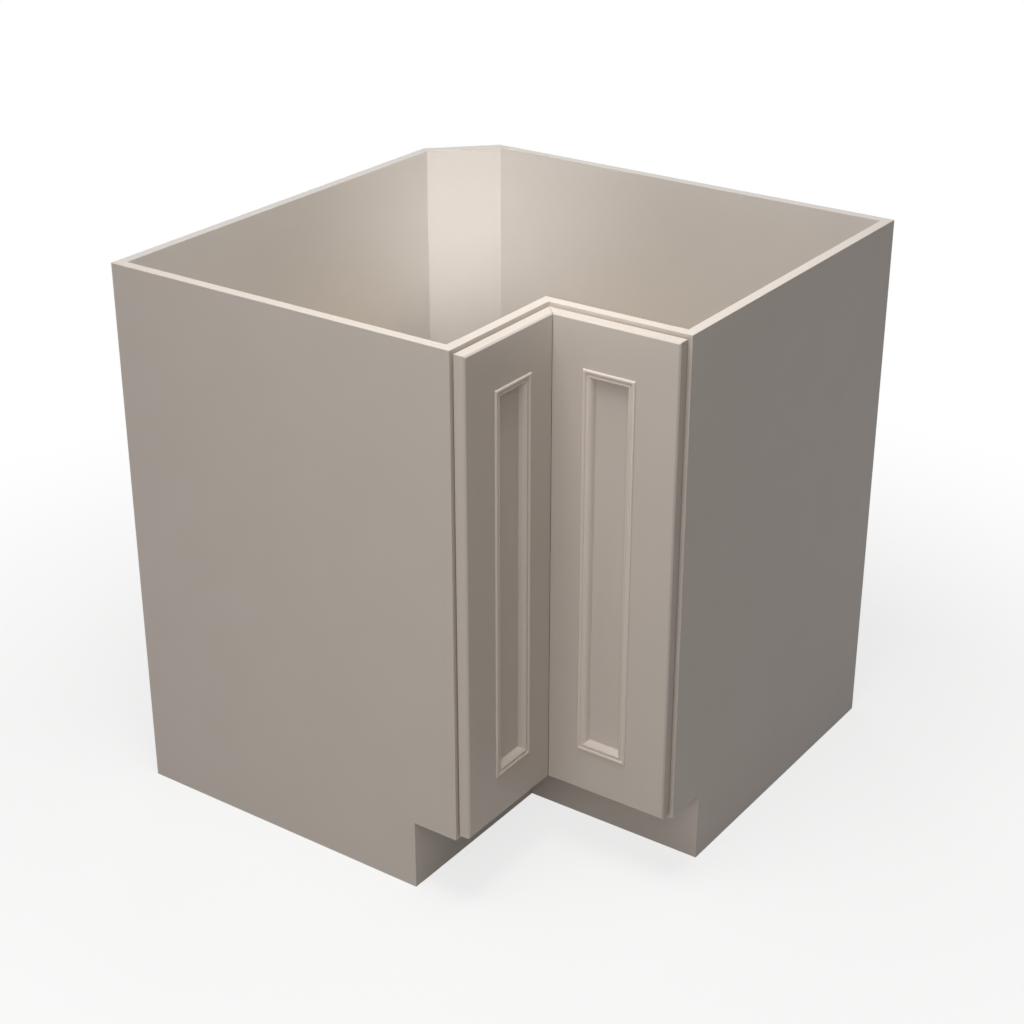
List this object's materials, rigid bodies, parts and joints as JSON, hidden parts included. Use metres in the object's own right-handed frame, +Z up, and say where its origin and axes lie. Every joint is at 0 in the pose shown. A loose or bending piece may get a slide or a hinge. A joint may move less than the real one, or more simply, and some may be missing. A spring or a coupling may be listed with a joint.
{
  "type": "corner carousel cabinet",
  "caption": "Framed kitchen base cabinet for an inside corner, painted, with a folding pair of recessed-panel door leaves and turning trays inside; no worktop.",
  "frame": {"origin": "middle of the square plan, at the floor", "axes": "+Z up; the right wing's front faces -Y and the left wing's front faces +X; the room's corner is towards -X +Y"},
  "size_m": [0.8382, 0.8382, 0.8763],
  "materials": {
    "painted_board": "satin taupe paint over board",
    "tray_birch": "clear-lacquered birch plywood",
    "hinge_nickel": "nickel-plated pressed steel",
    "bearing_steel": "zinc-plated pressed steel",
    "cage_nylon": "natural nylon",
    "bumper_rubber": "soft clear rubber"
  },
  "bodies": {
    "cabinet": {"left_side_panel": "painted_board", "right_side_panel": "painted_board", "left_back_panel": "painted_board", "corner_back_panel": "painted_board", "right_back_panel": "painted_board", "floor_deck": "painted_board", "middle_shelf": "painted_board", "shelf_cleat_left_side": "painted_board", "shelf_cleat_right_side": "painted_board", "shelf_cleat_left_back": "painted_board", "shelf_cleat_right_back": "painted_board", "left_toe_board": "painted_board", "right_toe_board": "painted_board", "frame_left_stile": "painted_board", "frame_right_stile": "painted_board", "frame_left_top_rail": "painted_board", "frame_right_top_rail": "painted_board", "frame_left_bottom_rail": "painted_board", "frame_right_bottom_rail": "painted_board", "lower_hinge_plate": "hinge_nickel", "lower_hinge_arm": "hinge_nickel", "upper_hinge_plate": "hinge_nickel", "upper_hinge_arm": "hinge_nickel", "lower_bearing_base": "bearing_steel", "upper_bearing_base": "bearing_steel"},
    "hinge_links": {"lower_hinge_link": "hinge_nickel", "upper_hinge_link": "hinge_nickel"},
    "right_leaf": {"right_leaf_outer_stile": "painted_board", "right_leaf_inner_stile": "painted_board", "right_leaf_bottom_rail": "painted_board", "right_leaf_top_rail": "painted_board", "right_leaf_panel": "painted_board", "right_leaf_moulding": "painted_board", "lower_hinge_cup": "hinge_nickel", "upper_hinge_cup": "hinge_nickel", "lower_fold_right_plate": "hinge_nickel", "lower_fold_pin": "hinge_nickel", "upper_fold_right_plate": "hinge_nickel", "upper_fold_pin": "hinge_nickel"},
    "left_leaf": {"left_leaf_outer_stile": "painted_board", "left_leaf_inner_stile": "painted_board", "left_leaf_bottom_rail": "painted_board", "left_leaf_top_rail": "painted_board", "left_leaf_panel": "painted_board", "left_leaf_moulding": "painted_board", "lower_fold_left_plate": "hinge_nickel", "upper_fold_left_plate": "hinge_nickel", "lower_bumper": "bumper_rubber", "upper_bumper": "bumper_rubber"},
    "lower_carousel": {"lower_tray_board": "tray_birch", "lower_tray_rim": "tray_birch", "lower_bearing_top": "bearing_steel"},
    "lower_ball_cage": {"lower_bearing_cage": "cage_nylon"},
    "upper_carousel": {"upper_tray_board": "tray_birch", "upper_tray_rim": "tray_birch", "upper_bearing_top": "bearing_steel"},
    "upper_ball_cage": {"upper_bearing_cage": "cage_nylon"}
  },
  "joints": [
    {"name": "hinge_link_swing", "type": "hinge", "parent": "cabinet", "child": "hinge_links", "pos_m": [0.3779, -0.195, 0.4953], "axis": [0, 0, 1], "range_deg": [-45, 0]},
    {"name": "right_leaf_swing", "type": "hinge", "parent": "hinge_links", "child": "right_leaf", "pos_m": [0.40225, -0.197, 0.4953], "axis": [0, 0, 1], "range_deg": [0, 150]},
    {"name": "left_leaf_fold", "type": "hinge", "parent": "right_leaf", "child": "left_leaf", "pos_m": [0.1898, -0.1898, 0.4953], "axis": [0, 0, 1], "range_deg": [-60, 0]},
    {"name": "lower_carousel_turn", "type": "hinge", "parent": "cabinet", "child": "lower_carousel", "pos_m": [-0.06986, 0.06986, 0.1619], "axis": [0, 0, 1], "continuous": true},
    {"name": "lower_cage_turn", "type": "hinge", "parent": "cabinet", "child": "lower_ball_cage", "pos_m": [-0.06986, 0.06986, 0.15715], "axis": [0, 0, 1], "continuous": true},
    {"name": "upper_carousel_turn", "type": "hinge", "parent": "cabinet", "child": "upper_carousel", "pos_m": [-0.06986, 0.06986, 0.4921], "axis": [0, 0, 1], "continuous": true},
    {"name": "upper_cage_turn", "type": "hinge", "parent": "cabinet", "child": "upper_ball_cage", "pos_m": [-0.06986, 0.06986, 0.48735], "axis": [0, 0, 1], "continuous": true}
  ],
  "couplings": [
    {"joint": "hinge_link_swing", "follows": "right_leaf_swing", "ratio": -0.3},
    {"joint": "left_leaf_fold", "follows": "right_leaf_swing", "ratio": -0.4},
    {"joint": "lower_cage_turn", "follows": "lower_carousel_turn", "ratio": 0.5},
    {"joint": "upper_cage_turn", "follows": "upper_carousel_turn", "ratio": 0.5}
  ]
}
